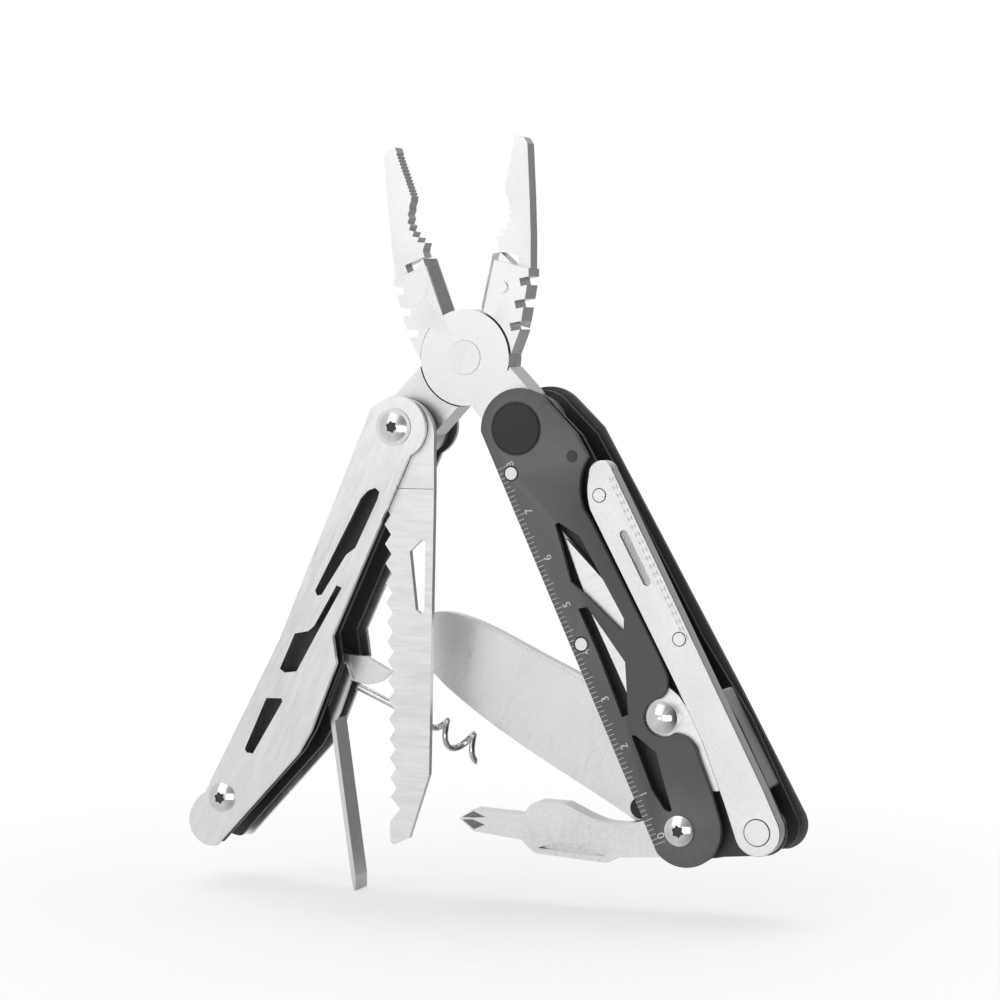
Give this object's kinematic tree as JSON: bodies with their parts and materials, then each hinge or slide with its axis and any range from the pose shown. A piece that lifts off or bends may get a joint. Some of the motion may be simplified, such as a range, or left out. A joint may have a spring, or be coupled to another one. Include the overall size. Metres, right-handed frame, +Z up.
{
  "type": "multi tool",
  "caption": "Folding multi tool opened out: pliers head, ruled dark handle with knife, driver and scissors, pale handle with saw and small tools.",
  "frame": {"origin": "middle of the box round the opened tool, at its lowest point", "axes": "+Z up towards the jaw tips, +Y away from the front face (the ruled scale faces -Y), +X to the right handle"},
  "size_m": [0.1304, 0.0174, 0.1544],
  "materials": {
    "polished_steel": "polished",
    "brushed_steel": "brushed",
    "blade_steel": "satin",
    "dark_anodised": "satin anodised",
    "black_steel": "black oxide",
    "handle_steel": "bead blasted"
  },
  "bodies": {
    "head": {"front_jaw": "polished_steel", "front_wire_cutter": "blade_steel", "front_cutter_screw": "polished_steel", "plier_pivot_pin": "polished_steel"},
    "rear_half": {"rear_jaw": "polished_steel", "rear_wire_cutter": "blade_steel", "rear_cutter_screw": "polished_steel"},
    "right_handle": {"front_scale": "dark_anodised", "front_liner": "black_steel", "rear_liner": "black_steel", "rear_scale": "dark_anodised", "right_pivot_pin": "black_steel", "right_end_screw": "polished_steel", "scale_pins": "brushed_steel", "scale_rivet": "black_steel", "front_pivot_spacer": "brushed_steel", "rear_pivot_spacer": "brushed_steel", "front_axle_spacer": "brushed_steel", "back_spring": "brushed_steel", "lever_axle": "brushed_steel"},
    "left_handle": {"left_front_plate": "handle_steel", "left_front_liner": "black_steel", "left_rear_liner": "black_steel", "left_rear_plate": "handle_steel", "left_pivot_screw": "polished_steel", "left_end_screw": "polished_steel", "left_tool_pin": "brushed_steel", "left_rear_spacer": "brushed_steel", "left_front_axle_spacer": "brushed_steel", "left_rear_axle_spacer": "brushed_steel", "left_axle_spacer": "brushed_steel", "left_tool_spacer": "brushed_steel", "left_spine": "black_steel"},
    "scissors": {"lever_bar": "handle_steel", "lever_inlay": "black_steel", "lever_pins": "brushed_steel", "scissor_plate": "blade_steel", "scissor_stud": "polished_steel"},
    "scissor_arm": {"scissor_blade": "blade_steel"},
    "knife": {"knife_blade": "blade_steel", "knife_stud": "black_steel"},
    "driver": {"screwdriver": "blade_steel"},
    "saw": {"saw_blade": "blade_steel"},
    "opener": {"can_opener": "blade_steel"},
    "cork": {"corkscrew": "polished_steel"},
    "strip": {"strip_driver": "polished_steel"}
  },
  "joints": [
    {"name": "pliers", "type": "hinge", "parent": "head", "child": "rear_half", "pos_m": [-0.00392, 0.00051, 0.11012], "axis": [0, 1, 0], "range_deg": [-14, 6]},
    {"name": "right_fold", "type": "hinge", "parent": "head", "child": "right_handle", "pos_m": [0.00956, 0.00051, 0.09616], "axis": [0, 1, 0], "range_deg": [-176, 0]},
    {"name": "left_fold", "type": "hinge", "parent": "rear_half", "child": "left_handle", "pos_m": [-0.01739, 0.00051, 0.09616], "axis": [0, 1, 0], "range_deg": [0, 138]},
    {"name": "scissors_swing", "type": "hinge", "parent": "right_handle", "child": "scissors", "pos_m": [0.05991, 0.00051, 0.01897], "axis": [0, 1, 0], "range_deg": [0, 175]},
    {"name": "scissor_cut", "type": "hinge", "parent": "scissors", "child": "scissor_arm", "pos_m": [0.04049, 0.00051, 0.0402], "axis": [0, -1, 0], "range_deg": [0, 8]},
    {"name": "knife_fold", "type": "hinge", "parent": "right_handle", "child": "knife", "pos_m": [0.04421, 0.00051, 0.01833], "axis": [0, -1, 0], "range_deg": [-39, 141]},
    {"name": "driver_fold", "type": "hinge", "parent": "right_handle", "child": "driver", "pos_m": [0.04421, 0.00051, 0.01833], "axis": [0, -1, 0], "range_deg": [-11, 112]},
    {"name": "saw_fold", "type": "hinge", "parent": "left_handle", "child": "saw", "pos_m": [-0.01739, 0.00051, 0.09616], "axis": [0, -1, 0], "range_deg": [-24, 15]},
    {"name": "opener_fold", "type": "hinge", "parent": "left_handle", "child": "opener", "pos_m": [-0.03449, 0.00051, 0.04648], "axis": [0, 1, 0], "range_deg": [-90, 10]},
    {"name": "cork_fold", "type": "hinge", "parent": "left_handle", "child": "cork", "pos_m": [-0.03449, 0.00051, 0.04648], "axis": [0, 1, 0], "range_deg": [-90, 5]},
    {"name": "strip_fold", "type": "hinge", "parent": "left_handle", "child": "strip", "pos_m": [-0.03449, 0.00051, 0.04648], "axis": [0, -1, 0], "range_deg": [-34, 30]}
  ]
}
